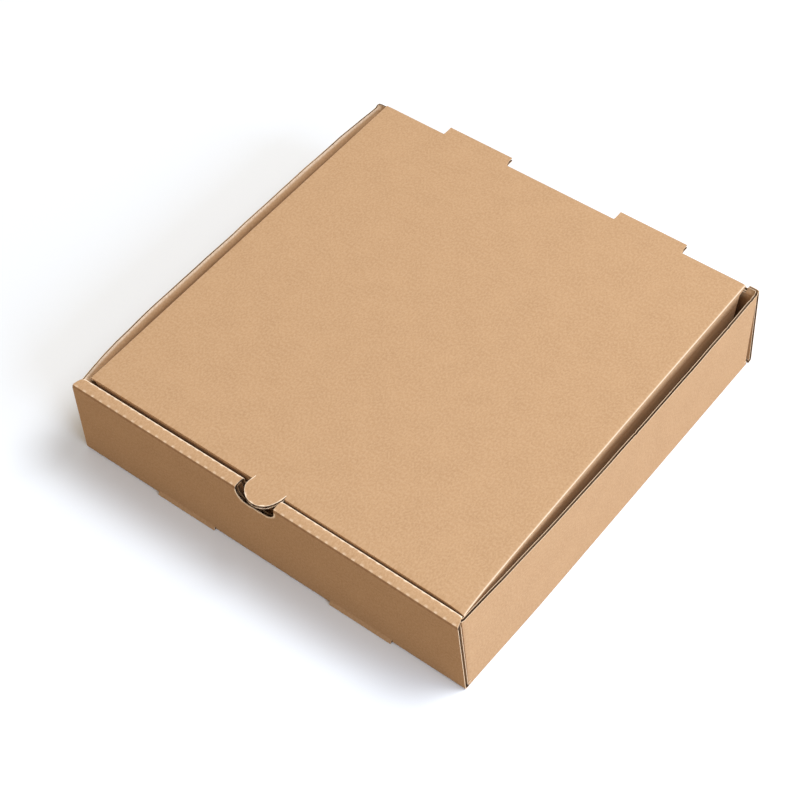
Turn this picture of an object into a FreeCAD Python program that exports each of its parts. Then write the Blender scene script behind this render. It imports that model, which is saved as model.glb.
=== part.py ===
import FreeCAD, Part
import Sketcher
import math
import os

# A pizza box of brown corrugated board, folded from one die-cut sheet.
# The sheet is two rigid pieces that move against each other at the back crease:
# the tray (base, back wall, side walls with corner flaps, rolled-over front wall)
# and the lid (top panel, side flaps, front tuck flap, thumb tab and two back tabs).
# The origin is the centre of the base's underside. +X is right, +Y is to the hinge, +Z is up.

doc = FreeCAD.newDocument("pizza_box")
sizes = doc.addObject("Spreadsheet::Sheet", "sizes")

SIZES = [
    ("board", 2.8, "thickness of the corrugated board"),
    ("ply_gap", 0.2, "air between two boards that lie against each other"),
    ("fold_inside", 0.4, "inside radius of a fold"),
    ("channel_width", 1.4, "width of the open flute that shows in a raw edge along the flutes"),
    ("channel_depth", 2.0, "depth to which that flute is open"),
    ("tray_width", 290.0, "outside width of the tray"),
    ("tray_depth", 296.5, "outside depth of the tray at the base"),
    ("wall_height", 63.5, "height of the front wall"),
    ("side_height", 62.4, "height of the side walls' raw top edge"),
    ("side_bow", 2.9, "how far a side wall's top edge stands out at its middle"),
    ("front_lean", 0.8, "how far the front wall's top stands out beyond its foot"),
    ("front_taper", 2.2, "how much shorter each end of the front wall is at its top"),
    ("strip_mitre", 3.0, "how much shorter each end of the top strip is at its back crease"),
    ("corner_flap", 46.0, "length of the flaps that turn in from the side walls"),
    ("lock_width", 45.0, "width of the front wall's two locking tabs"),
    ("lock_offset", 66.8, "middle of a locking tab from the centre line"),
    ("slot_clearance", 0.5, "play of a locking tab in its slot"),
    ("notch_width", 28.5, "width of the thumb notch in the front wall"),
    ("notch_depth", 11.6, "depth of the thumb notch below the front wall's top"),
    ("notch_corner", 8.0, "radius of the thumb notch's two lower corners"),
    ("lid_rise", 0.6, "height of the lid's top above the front wall's top"),
    ("lid_side_gap", 3.4, "air between the lid's side flap and the side wall"),
    ("lid_front_gap", 0.8, "air between the lid's front fold and the front wall"),
    ("flap_depth", 50.0, "depth of the lid's three flaps below its top"),
    ("tuck_ease", 1.0, "extra lean in degrees of the front tuck flap"),
    ("flap_end_gap", 1.5, "air between the lid's side flap and the back corner flap"),
    ("flap_end_slope", 15.0, "slope in degrees of the back end of the lid's side flap"),
    ("tuck_side_gap", 0.6, "air between the tuck flap's ends and the side flaps"),
    ("hinge_gap", 0.3, "air under the lid at the back crease"),
    ("back_tab_width", 49.4, "width of the two tabs beyond the back crease"),
    ("back_tab_offset", 66.6, "middle of a back tab from the centre line"),
    ("back_tab_length", 6.8, "length of the back tabs beyond the back wall"),
    ("window_clearance", 0.5, "play of a back tab in its window"),
    ("thumb_width", 23.7, "width of the thumb tab"),
    ("thumb_length", 13.0, "length of the thumb tab beyond the lid's front fold"),
]

for row, (alias, value, note) in enumerate(SIZES, start=1):
    sizes.set("A%d" % row, note)
    sizes.set("B%d" % row, str(value))
    sizes.setAlias("B%d" % row, alias)
doc.recompute()


def size(name):
    """The expression of one driving size."""
    return "sizes." + name


# Lengths that follow from the driving sizes, as expressions.
BOARD = size("board")
GAP = size("ply_gap")
BEND_IN = size("fold_inside")
BEND_OUT = "(sizes.fold_inside + sizes.board)"
HALF_WIDTH = "(sizes.tray_width / 2)"
HALF_DEPTH = "(sizes.tray_depth / 2)"
LEAN_ANGLE = "atan(sizes.front_lean / sizes.wall_height)"
SANDWICH = "(3 * sizes.board + 2 * sizes.ply_gap)"
STRIP_FLAT = "(%s - 2 * %s)" % (SANDWICH, BEND_OUT)
PANEL_RISE = "(sizes.wall_height - %s)" % BEND_OUT
STRIP_END = "(%s - sizes.front_taper - sizes.strip_mitre)" % HALF_WIDTH
LID_TOP = "(sizes.wall_height + sizes.lid_rise)"
LID_UNDER = "(%s - sizes.board)" % LID_TOP
FOLD_FOOT = "(%s - %s)" % (LID_TOP, BEND_OUT)
HINGE_Y = "(%s - sizes.board / 2)" % HALF_DEPTH
HINGE_Z = "(%s - sizes.board / 2)" % LID_TOP
LID_HALF = "(%s - sizes.board - sizes.lid_side_gap)" % HALF_WIDTH
LID_FRONT = "(%s + sizes.lid_front_gap - sizes.front_lean - %s)" % (SANDWICH, HALF_DEPTH)
LID_REACH = "(%s - %s)" % (HINGE_Y, LID_FRONT)
FLAP_FOOT = "(%s - sizes.flap_depth)" % LID_TOP
SWING = "(sizes.flap_depth * sizes.flap_depth / (2 * %s))" % LID_REACH
TUCK_ANGLE = "(atan(sizes.flap_depth / (2 * %s)) + sizes.tuck_ease * 1 deg)" % LID_REACH
TUCK_HALF = "(%s - sizes.board - sizes.tuck_side_gap)" % LID_HALF
TURN_FLAP_TOP = "(%s - sizes.hinge_gap)" % FOLD_FOOT
OVERCUT = "1"


def number(expression):
    """The present value of an expression, in mm or degrees."""
    value = sizes.evalExpression(expression)
    return float(getattr(value, "Value", value))


def origin_plane(body, role):
    """The body's own origin plane with this role."""
    return [plane for plane in body.Origin.OriginFeatures if plane.Role == role][0]


def arc_through(start, end, radius, turn):
    """An arc from start to end; turn is +1 for a left-hand bend and -1 for a right-hand one."""
    chord = end - start
    half = chord.Length / 2
    rise = math.sqrt(max(radius * radius - half * half, 0.0))
    side = FreeCAD.Vector(-chord.y, chord.x, 0).normalize()
    centre = start + chord * 0.5 + side * (rise * turn)
    middle = centre - side * (radius * turn)
    return Part.Arc(start, middle, end)


def add_outline(sketch, corners):
    """A closed outline whose corners are pairs of expressions.

    A third entry, (radius, turn), makes the edge that leaves that corner an arc."""
    points = [FreeCAD.Vector(number(corner[0]), number(corner[1]), 0) for corner in corners]
    first = sketch.GeometryCount
    ends = []
    for index, corner in enumerate(corners):
        start = points[index]
        end = points[(index + 1) % len(points)]
        if len(corner) == 3:
            radius, turn = corner[2]
            edge = sketch.addGeometry(arc_through(start, end, number(radius), turn), False)
            name = "%s_radius_%d" % (sketch.Name, edge)
            place = sketch.addConstraint(Sketcher.Constraint("Radius", edge, number(radius)))
            sketch.renameConstraint(place, name)
            sketch.setExpression("Constraints." + name, radius)
        else:
            edge = sketch.addGeometry(Part.LineSegment(start, end), False)
        near = sketch.getPoint(edge, 1).distanceToPoint(start)
        far = sketch.getPoint(edge, 2).distanceToPoint(start)
        ends.append((edge, 1, 2) if near < far else (edge, 2, 1))
    for index, (edge, head, tail) in enumerate(ends):
        after, after_head, _ = ends[(index + 1) % len(ends)]
        sketch.addConstraint(Sketcher.Constraint("Coincident", edge, tail, after, after_head))
        for kind, expression, value in (
            ("DistanceX", corners[index][0], points[index].x),
            ("DistanceY", corners[index][1], points[index].y),
        ):
            name = "%s_%s_%d" % (sketch.Name, kind[-1].lower(), first + index)
            place = sketch.addConstraint(Sketcher.Constraint(kind, -1, 1, edge, head, value))
            sketch.renameConstraint(place, name)
            sketch.setExpression("Constraints." + name, expression)


def new_sketch(body, name, role, outlines, offset="0"):
    """A sketch on one of the body's origin planes, lifted by offset along the plane's normal."""
    sketch = body.newObject("Sketcher::SketchObject", name)
    sketch.AttachmentSupport = [(origin_plane(body, role), "")]
    sketch.MapMode = "FlatFace"
    sketch.setExpression("AttachmentOffset.Base.z", offset)
    doc.recompute()
    for corners in outlines:
        add_outline(sketch, corners)
    doc.recompute()
    return sketch


def new_feature(body, kind, name, sketch, length=None, side="One side", reverse=False):
    """A pad or pocket of a sketch; without a length it runs through all."""
    feature = body.newObject("PartDesign::" + kind, name)
    feature.Profile = sketch
    feature.SideType = side
    feature.Reversed = reverse
    if length is None:
        feature.Type = "ThroughAll"
    else:
        feature.setExpression("Length", length)
    sketch.Visibility = False
    doc.recompute()
    return feature


def box_outline(left, low, right, high):
    """A rectangle between two corners."""
    return [(left, low), (right, low), (right, high), (left, high)]


def mirrored_boxes(inner, low, outer, high):
    """One rectangle on each side of the centre line."""
    return [box_outline(inner, low, outer, high), box_outline("-" + outer, low, "-" + inner, high)]


def span(offset, width, clearance="0"):
    """The inner and outer edge of a tab or slot that lies off the centre line."""
    half = "(%s / 2 + %s)" % (width, clearance)
    return "(%s - %s)" % (offset, half), "(%s + %s)" % (offset, half)


def make_base_panel():
    """Base, back wall and the two folds between base, front and back."""
    body = doc.addObject("PartDesign::Body", "base_panel")
    front = "(%s - %s)" % (BEND_OUT, HALF_DEPTH)
    back = "(%s - %s)" % (HALF_DEPTH, BEND_OUT)
    back_top = "(%s - sizes.hinge_gap)" % LID_UNDER
    lean_cos = "cos(%s)" % LEAN_ANGLE
    lean_sin = "sin(%s)" % LEAN_ANGLE
    section = [
        (front, "0"),
        (back, "0", (BEND_OUT, 1)),
        (HALF_DEPTH, BEND_OUT),
        (HALF_DEPTH, back_top),
        ("(%s - %s)" % (HALF_DEPTH, BOARD), back_top),
        ("(%s - %s)" % (HALF_DEPTH, BOARD), BEND_OUT, (BEND_IN, -1)),
        (back, BOARD),
        (front, BOARD, (BEND_IN, -1)),
        ("(%s - %s * %s)" % (front, BEND_IN, lean_cos), "(%s - %s * %s)" % (BEND_OUT, BEND_IN, lean_sin)),
        (
            "(%s - %s * %s)" % (front, BEND_OUT, lean_cos),
            "(%s - %s * %s)" % (BEND_OUT, BEND_OUT, lean_sin),
            (BEND_OUT, 1),
        ),
    ]
    sketch = new_sketch(body, "base_section", "YZ_Plane", [section])
    new_feature(body, "Pad", "base_pad", sketch, size("tray_width"), "Symmetric")

    edge = "(%s - %s)" % (HALF_WIDTH, BEND_OUT)
    beyond = "(%s + %s)" % (HALF_WIDTH, OVERCUT)
    sides = new_sketch(body, "side_room", "XY_Plane", mirrored_boxes(edge, front, beyond, back))
    new_feature(body, "Pocket", "side_room_cut", sides, None, "Symmetric")

    inner, outer = span(size("lock_offset"), size("lock_width"), size("slot_clearance"))
    slot_front = "(0 - %s - %s)" % (HALF_DEPTH, OVERCUT)
    slot_back = "(%s + sizes.slot_clearance - %s)" % (SANDWICH, HALF_DEPTH)
    slots = new_sketch(body, "lock_slots", "XY_Plane", mirrored_boxes(inner, slot_front, outer, slot_back))
    new_feature(body, "Pocket", "lock_slot_cut", slots, None, "Symmetric")

    inner, outer = span(size("back_tab_offset"), size("back_tab_width"), size("window_clearance"))
    foot = "(%s - sizes.back_tab_length - sizes.board)" % HINGE_Z
    head = "(%s + %s)" % (LID_TOP, OVERCUT)
    windows = new_sketch(body, "back_windows", "XZ_Plane", mirrored_boxes(inner, foot, outer, head))
    new_feature(body, "Pocket", "back_window_cut", windows, None, "Symmetric")
    return body


def make_front_wall():
    """Front wall rolled over at its top, with thumb notch, locking tabs and slot lips.

    It is drawn about the centre of the fold at its foot and leans about that line."""
    body = doc.addObject("PartDesign::Body", "front_wall")
    face = "(0 - %s)" % BEND_OUT
    face_in = "(0 - %s)" % BEND_IN
    fold_rise = "(%s - %s)" % (PANEL_RISE, BEND_OUT)
    inner_back = "(%s - %s)" % (SANDWICH, BEND_OUT)
    inner_front = "(%s - %s)" % (inner_back, BOARD)
    inner_foot = "(%s - %s)" % (GAP, BEND_IN)
    under = "(%s - %s)" % (PANEL_RISE, BOARD)
    section = [
        (face, "0"),
        (face_in, "0"),
        (face_in, fold_rise, (BEND_IN, -1)),
        ("0", under),
        (STRIP_FLAT, under, (BEND_IN, -1)),
        (inner_front, fold_rise),
        (inner_front, inner_foot),
        (inner_back, inner_foot),
        (inner_back, fold_rise, (BEND_OUT, 1)),
        (STRIP_FLAT, PANEL_RISE),
        ("0", PANEL_RISE, (BEND_OUT, 1)),
        (face, fold_rise),
    ]
    sketch = new_sketch(body, "front_section", "YZ_Plane", [section])
    new_feature(body, "Pad", "front_pad", sketch, size("tray_width"), "Symmetric")

    def both_ends(corners):
        flipped = [("(0 - %s)" % corner[0], corner[1]) for corner in reversed(corners)]
        return [corners, flipped]

    beyond = "(%s + %s)" % (HALF_WIDTH, OVERCUT)
    crease_end = "(%s - sizes.front_taper)" % HALF_WIDTH
    taper = [(HALF_WIDTH, "0"), (beyond, "0"), (beyond, PANEL_RISE), (crease_end, PANEL_RISE)]
    ends = new_sketch(body, "end_taper", "XZ_Plane", both_ends(taper))
    new_feature(body, "Pocket", "end_taper_cut", ends, None, "Symmetric")

    middle = "(%s / 2 + %s)" % (BOARD, BEND_IN)
    channel = [
        ("(%s - sizes.channel_depth)" % HALF_WIDTH, "0"),
        (beyond, "0"),
        (beyond, fold_rise),
        ("(%s - sizes.channel_depth)" % crease_end, fold_rise),
    ]
    open_flutes = new_sketch(body, "end_channels", "XZ_Plane", both_ends(channel), middle)
    new_feature(body, "Pocket", "end_channel_cut", open_flutes, size("channel_width"), "Symmetric")

    mitre = [(crease_end, face), (beyond, face), (beyond, inner_back), (STRIP_END, inner_back)]
    mitres = new_sketch(body, "strip_mitres", "XY_Plane", both_ends(mitre), PANEL_RISE)
    new_feature(body, "Pocket", "strip_mitre_cut", mitres, BEND_OUT)

    behind = "(%s / 2 - %s)" % (GAP, BEND_IN)
    inner = [(STRIP_END, behind), (beyond, behind), (beyond, inner_back), (STRIP_END, inner_back)]
    inner_ends = new_sketch(body, "inner_ends", "XY_Plane", both_ends(inner), fold_rise)
    new_feature(body, "Pocket", "inner_end_cut", inner_ends)

    half = "(sizes.notch_width / 2)"
    floor = "(%s - sizes.notch_depth)" % PANEL_RISE
    bend = "(%s + sizes.notch_corner)" % floor
    flat = "(%s - sizes.notch_corner)" % half
    above = "(%s + %s)" % (PANEL_RISE, OVERCUT)
    notch = [
        ("(0 - %s)" % half, above),
        ("(0 - %s)" % half, bend, (size("notch_corner"), 1)),
        ("(0 - %s)" % flat, floor),
        (flat, floor, (size("notch_corner"), 1)),
        (half, bend),
        (half, above),
    ]
    thumb_notch = new_sketch(body, "thumb_notch", "XZ_Plane", [notch])
    new_feature(body, "Pocket", "thumb_notch_cut", thumb_notch, None, "Symmetric")

    inner_edge, outer_edge = span(size("lock_offset"), size("lock_width"))
    lip_foot = "(%s - %s)" % (GAP, BEND_OUT)
    lips = new_sketch(
        body, "slot_lips", "XZ_Plane", mirrored_boxes(inner_edge, lip_foot, outer_edge, BOARD), BEND_OUT
    )
    new_feature(body, "Pad", "slot_lip_pad", lips, BOARD, reverse=True)

    tabs = new_sketch(
        body,
        "lock_tabs",
        "XZ_Plane",
        mirrored_boxes(inner_edge, lip_foot, outer_edge, BOARD),
        "(0 - %s)" % inner_back,
    )
    new_feature(body, "Pad", "lock_tab_pad", tabs, BOARD)

    body.Placement = FreeCAD.Placement(FreeCAD.Vector(), FreeCAD.Rotation(FreeCAD.Vector(1, 0, 0), 0))
    body.setExpression("Placement.Rotation.Angle", LEAN_ANGLE)
    body.setExpression("Placement.Base.y", "%s - %s" % (BEND_OUT, HALF_DEPTH))
    body.setExpression("Placement.Base.z", BEND_OUT)
    return body


def bow_radius():
    """Radius of the arc that a side wall's top edge follows."""
    reach = "(%s - %s - %s - %s)" % (HALF_DEPTH, BOARD, GAP, BEND_OUT)
    bow = size("side_bow")
    return reach, "((%s * %s + %s * %s) / (2 * %s))" % (reach, reach, bow, bow, bow)


def side_profile(bowed):
    """A side wall seen from above, with the two corners that turn in."""
    out = HALF_WIDTH
    out_in = "(%s - %s)" % (HALF_WIDTH, BOARD)
    turn = "(%s - %s)" % (HALF_WIDTH, BEND_OUT)
    end = "(%s - %s - %s)" % (HALF_DEPTH, BOARD, GAP)
    end_in = "(%s - %s)" % (end, BOARD)
    straight, radius = bow_radius()

    def long_edge(x, y, side):
        return (x, y, (radius, side)) if bowed else (x, y)

    return [
        (turn, "(0 - %s)" % end, (BEND_OUT, 1)),
        long_edge(out, "(0 - %s)" % straight, 1),
        (out, straight, (BEND_OUT, 1)),
        (turn, end),
        (turn, end_in, (BEND_IN, -1)),
        long_edge(out_in, straight, -1),
        (out_in, "(0 - %s)" % straight, (BEND_IN, -1)),
        (turn, "(0 - %s)" % end_in),
    ]


def make_top_channel(body):
    """The open flute along the side wall's raw top edge, midway between its two faces."""
    reach, radius = bow_radius()
    outer = "(%s - (%s - sizes.channel_width) / 2)" % (HALF_WIDTH, BOARD)
    inner = "(%s - (%s + sizes.channel_width) / 2)" % (HALF_WIDTH, BOARD)
    slot = [
        (outer, "(0 - %s)" % reach, (radius, 1)),
        (outer, reach),
        (inner, reach, (radius, -1)),
        (inner, "(0 - %s)" % reach),
    ]
    return new_sketch(body, "top_channel", "XY_Plane", [slot], size("side_height"))


def make_side_wall():
    """Right wall: fold at its foot, panel that bows out at the top, and two flaps that turn in."""
    body = doc.addObject("PartDesign::Body", "right_wall")
    low = new_sketch(body, "wall_foot", "XY_Plane", [side_profile(False)], BEND_OUT)
    high = new_sketch(body, "wall_top", "XY_Plane", [side_profile(True)], size("side_height"))
    wall = body.newObject("PartDesign::AdditiveLoft", "wall_loft")
    wall.Profile = low
    wall.Sections = [high]
    wall.Ruled = True
    doc.recompute()

    new_feature(body, "Pocket", "top_channel_cut", make_top_channel(body), size("channel_depth"))

    turn = "(%s - %s)" % (HALF_WIDTH, BEND_OUT)
    fold = [
        (turn, "0", (BEND_OUT, 1)),
        (HALF_WIDTH, BEND_OUT),
        ("(%s - %s)" % (HALF_WIDTH, BOARD), BEND_OUT, (BEND_IN, -1)),
        (turn, BOARD),
    ]
    foot = new_sketch(body, "side_fold", "XZ_Plane", [fold])
    length = "(sizes.tray_depth - 2 * (%s + %s))" % (BEND_OUT, GAP)
    new_feature(body, "Pad", "side_fold_pad", foot, length, "Symmetric")

    end = "(%s - %s - %s)" % (HALF_DEPTH, BOARD, GAP)
    flap_end = "(%s - sizes.corner_flap)" % HALF_WIDTH
    front = box_outline(flap_end, "(0 - %s)" % end, turn, "(%s - %s)" % (BOARD, end))
    back = box_outline(flap_end, "(%s - %s)" % (end, BOARD), turn, end)
    flaps = new_sketch(body, "corner_flaps", "XY_Plane", [front, back], BEND_OUT)
    under_strip = "(sizes.wall_height - %s - 2 * %s)" % (BOARD, GAP)
    flap_height = "(min(%s; %s) - %s)" % (TURN_FLAP_TOP, under_strip, BEND_OUT)
    new_feature(body, "Pad", "corner_flap_pad", flaps, flap_height)
    return body


def make_tray():
    """The tray is one board: its panels join along the folds."""
    base = make_base_panel()
    front = make_front_wall()
    right = make_side_wall()
    left = doc.addObject("Part::Mirroring", "left_wall")
    left.Source = right
    left.Base = FreeCAD.Vector(0, 0, 0)
    left.Normal = FreeCAD.Vector(1, 0, 0)
    tray = doc.addObject("Part::MultiFuse", "tray")
    tray.Label = "tray"
    tray.Shapes = [base, front, right, left]
    tray.Refine = True
    return tray


def make_lid():
    """Top panel with two side flaps, leaning tuck flap, thumb tab, back tabs and rounded hinge edge."""
    body = doc.addObject("PartDesign::Body", "lid")
    body.Label = "lid"
    side = LID_HALF
    side_in = "(%s - %s)" % (LID_HALF, BOARD)
    flat = "(%s - %s)" % (LID_HALF, BEND_OUT)
    channel = [
        ("(0 - %s)" % side, FLAP_FOOT),
        ("(0 - %s)" % side_in, FLAP_FOOT),
        ("(0 - %s)" % side_in, FOLD_FOOT, (BEND_IN, -1)),
        ("(0 - %s)" % flat, LID_UNDER),
        (flat, LID_UNDER, (BEND_IN, -1)),
        (side_in, FOLD_FOOT),
        (side_in, FLAP_FOOT),
        (side, FLAP_FOOT),
        (side, FOLD_FOOT, (BEND_OUT, 1)),
        (flat, LID_TOP),
        ("(0 - %s)" % flat, LID_TOP, (BEND_OUT, 1)),
        ("(0 - %s)" % side, FOLD_FOOT),
    ]
    cross = new_sketch(body, "lid_section", "XZ_Plane", [channel], "(0 - %s)" % HINGE_Y)
    new_feature(body, "Pad", "lid_pad", cross, LID_REACH)

    front = LID_FRONT
    before = "(%s - %s)" % (LID_FRONT, OVERCUT)
    fold_line = "(%s + %s)" % (LID_FRONT, BEND_OUT)
    above = "(%s + %s)" % (LID_TOP, OVERCUT)
    rounding = [
        (front, FOLD_FOOT, (BEND_OUT, -1)),
        (fold_line, LID_TOP),
        (fold_line, above),
        (before, above),
        (before, FOLD_FOOT),
    ]
    below = "(%s - %s)" % (FLAP_FOOT, OVERCUT)
    flap_start = "(%s + %s + sizes.lid_front_gap + sizes.tuck_side_gap)" % (LID_FRONT, SWING)
    front_end = box_outline(before, below, flap_start, FOLD_FOOT)
    flap_stop = "(%s - 2 * (sizes.board + sizes.ply_gap) - sizes.flap_end_gap)" % HALF_DEPTH
    behind = "(%s + %s)" % (HALF_DEPTH, OVERCUT)
    slope = "((sizes.flap_depth + %s) * tan(sizes.flap_end_slope))" % OVERCUT
    back_end = [
        ("(%s - %s)" % (flap_stop, slope), below),
        (behind, below),
        (behind, LID_UNDER),
        (flap_stop, LID_UNDER),
    ]
    round_cut = new_sketch(body, "front_rounding", "YZ_Plane", [rounding])
    new_feature(body, "Pocket", "front_rounding_cut", round_cut, None, "Symmetric")
    flap_ends = new_sketch(body, "flap_ends", "YZ_Plane", [front_end, back_end])
    new_feature(body, "Pocket", "flap_end_cut", flap_ends, None, "Symmetric")

    sin_tuck = "sin(%s)" % TUCK_ANGLE
    cos_tuck = "cos(%s)" % TUCK_ANGLE
    run = "(sizes.flap_depth - %s)" % BEND_OUT

    def tuck_point(radius, along):
        """A point of the leaning flap, at a radius from the fold's centre and a way down the flap."""
        y = "(%s - %s * %s + %s * %s)" % (fold_line, radius, cos_tuck, along, sin_tuck)
        z = "(%s - %s * %s - %s * %s)" % (FOLD_FOOT, radius, sin_tuck, along, cos_tuck)
        return y, z

    tuck = [
        (fold_line, LID_TOP, (BEND_OUT, 1)),
        tuck_point(BEND_OUT, "0"),
        tuck_point(BEND_OUT, run),
        tuck_point(BEND_IN, run),
        tuck_point(BEND_IN, "0") + ((BEND_IN, -1),),
        (fold_line, LID_UNDER),
    ]
    tuck_section = new_sketch(body, "tuck_section", "YZ_Plane", [tuck])
    new_feature(body, "Pad", "tuck_pad", tuck_section, "(2 * %s)" % TUCK_HALF, "Symmetric")

    thumb_half = "(sizes.thumb_width / 2)"
    thumb_neg = "(0 - %s)" % thumb_half
    window_line = "(%s - sizes.ply_gap)" % LID_UNDER
    window_bend = "(%s - sizes.thumb_length + %s)" % (LID_UNDER, thumb_half)
    window = [
        (thumb_neg, window_line),
        (thumb_neg, window_bend, (thumb_half, 1)),
        ("0", "(%s - %s)" % (window_bend, thumb_half), (thumb_half, 1)),
        (thumb_half, window_bend),
        (thumb_half, window_line),
    ]
    flap_room = "(2 * %s)" % BOARD
    window_plane = "(0 - %s - %s)" % (fold_line, flap_room)
    thumb_window = new_sketch(body, "thumb_window", "XZ_Plane", [window], window_plane)
    new_feature(body, "Pocket", "thumb_window_cut", thumb_window, None, reverse=True)
    open_fold = box_outline(thumb_neg, window_line, thumb_half, above)
    thumb_fold = new_sketch(body, "thumb_fold", "XZ_Plane", [open_fold], "(0 - %s)" % fold_line)
    new_feature(body, "Pocket", "thumb_fold_cut", thumb_fold, None, reverse=True)

    tip_bend = "(%s - sizes.thumb_length + %s)" % (LID_FRONT, thumb_half)
    tongue = [
        (thumb_neg, fold_line),
        (thumb_neg, tip_bend, (thumb_half, 1)),
        ("0", "(%s - %s)" % (tip_bend, thumb_half), (thumb_half, 1)),
        (thumb_half, tip_bend),
        (thumb_half, fold_line),
    ]
    thumb = new_sketch(body, "thumb_tab", "XY_Plane", [tongue], LID_UNDER)
    new_feature(body, "Pad", "thumb_tab_pad", thumb, BOARD)

    inner, outer = span(size("back_tab_offset"), size("back_tab_width"))
    root = "(%s - %s)" % (HINGE_Y, BOARD)
    tip = "(%s + sizes.back_tab_length)" % HALF_DEPTH
    tabs = new_sketch(body, "back_tabs", "XY_Plane", mirrored_boxes(inner, root, outer, tip), LID_UNDER)
    new_feature(body, "Pad", "back_tab_pad", tabs, BOARD)

    half_board = "(sizes.board / 2)"
    bead = [
        (HINGE_Y, "(%s - %s)" % (HINGE_Z, half_board), (half_board, 1)),
        ("(%s + %s)" % (HINGE_Y, half_board), HINGE_Z, (half_board, 1)),
        (HINGE_Y, "(%s + %s)" % (HINGE_Z, half_board)),
    ]
    hinge = new_sketch(body, "hinge_edge", "YZ_Plane", [bead])
    new_feature(body, "Pad", "hinge_edge_pad", hinge, "(2 * %s)" % flat, "Symmetric")
    return body


tray = make_tray()
lid = make_lid()
doc.recompute()

for item in doc.Objects:
    if "Invalid" in item.State or "Error" in item.State:
        raise RuntimeError("%s failed: %s" % (item.Name, item.State))

os.makedirs("parts", exist_ok=True)
for node in (tray, lid):
    if node.Shape.isNull() or not node.Shape.isValid():
        raise RuntimeError("%s has no valid shape" % node.Label)
    node.Shape.exportStep("parts/%s.step" % node.Label)
    box = node.Shape.BoundBox
    print(
        node.Label,
        "solids", len(node.Shape.Solids),
        "volume", round(node.Shape.Volume, 1),
        "x", round(box.XMin, 2), round(box.XMax, 2),
        "y", round(box.YMin, 2), round(box.YMax, 2),
        "z", round(box.ZMin, 2), round(box.ZMax, 2),
    )
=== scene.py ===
import math
import bpy
import numpy as np
from mathutils import Matrix, Vector


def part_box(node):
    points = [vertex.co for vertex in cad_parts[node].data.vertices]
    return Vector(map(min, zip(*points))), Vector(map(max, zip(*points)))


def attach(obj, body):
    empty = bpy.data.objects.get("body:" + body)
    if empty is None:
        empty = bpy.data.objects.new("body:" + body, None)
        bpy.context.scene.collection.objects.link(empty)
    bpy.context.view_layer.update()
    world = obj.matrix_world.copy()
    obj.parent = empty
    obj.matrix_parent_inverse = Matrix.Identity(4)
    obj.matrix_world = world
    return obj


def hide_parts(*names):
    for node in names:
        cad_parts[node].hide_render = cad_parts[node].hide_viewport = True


# A pizza box of brown corrugated board. Each of its two boards is built as real board is made:
# an outer liner, a fluted paper and an inner liner, cut flat to the blank's outline and folded.
# Flat places are u across the flutes, v along them and h from the outer face inwards, in mm.

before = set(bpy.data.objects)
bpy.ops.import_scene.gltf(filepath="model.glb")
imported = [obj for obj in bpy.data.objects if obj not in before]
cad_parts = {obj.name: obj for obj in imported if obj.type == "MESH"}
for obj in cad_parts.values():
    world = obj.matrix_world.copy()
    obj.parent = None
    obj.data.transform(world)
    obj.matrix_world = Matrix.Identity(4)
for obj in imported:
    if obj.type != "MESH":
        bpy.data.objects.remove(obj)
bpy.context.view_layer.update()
tray_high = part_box("tray")[1]
lid_low, lid_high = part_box("lid")

MM = 0.001

# The board.
BOARD = 2.8
LINER = 0.42
FLUTE_PAPER = 0.26
PITCH = 6.35
CUTS_PER_FLUTE = 6
FOLD_OUT = 3.2
FOLD_MIDDLE = FOLD_OUT - BOARD / 2
ARC = FOLD_MIDDLE * math.pi / 2
GAP = 0.2
CREASE_GAP = 0.3

# The meshes: steps in a fold, spacing of rows, and how near counts as on a line.
ARC_STEPS = 8
TRAY_STEP = 12.0
LID_STEP = 24.0
FINE_STEP = 0.8
ROW_MARGIN = 1.0
SHARP_ANGLE = 42
PATTERN_DEPTH = 20
ON_LINE = 0.1
HAIR = 0.01

# The tray. Slots, lips and locking tabs are shifted and the notch lies off the middle.
TRAY_HALF = 145.0
TRAY_FRONT = 148.25
TRAY_BACK = tray_high.y / MM
FRONT_HEIGHT = 63.5
FRONT_LEAN = math.degrees(math.atan(0.5 / FRONT_HEIGHT))
FRONT_DEPTH = 3 * BOARD + 2 * GAP
SIDE_HEIGHT = 62.4
CREASE_HALF = 142.8
STRIP_HALF = 139.8
LOCK_OFFSET = 66.8
LOCK_WIDTH = 45.0
LOCK_SHIFT = 3.6
SLOT_PLAY = 0.5
NOTCH_MIDDLE = -1.8
NOTCH_WIDTH = 28.5
NOTCH_DEPTH = 11.6
NOTCH_CORNER = 8.0
NOTCH_LEFT = NOTCH_MIDDLE - NOTCH_WIDTH / 2
NOTCH_RIGHT = NOTCH_MIDDLE + NOTCH_WIDTH / 2
FLAP_LENGTH = 46.0
WINDOW_DEPTH = 8.0

# How far the tray's panels stand off their straight places.
FRONT_END_PULL = 1.5
LIP_FLARE = 1.5
STRIP_NARROW = 0.3
BACK_SPREAD = 1.7
BACK_END_LEAN = 2.2
FOOT_SPREAD = 1.1
STAND_LEFT = 2.85
STAND_RIGHT = 1.75
SLANT_LEFT = 0.6
SLANT_RIGHT = 1.7
THROWN_LEFT = 0.5
THROWN_RIGHT = 2.2
PRESSED_LEFT = 0.6
PRESSED_RIGHT = 0.35
EAR_LEAN = 0.45
EDGE_DIP = 0.2
NICKS = (16.0, 114.0, 139.0)
NICK_DEPTH = 0.8
NICK_WIDTH = 1.0
NICK_STEP = 0.9
PRESS_LENGTH = 6.0

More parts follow.
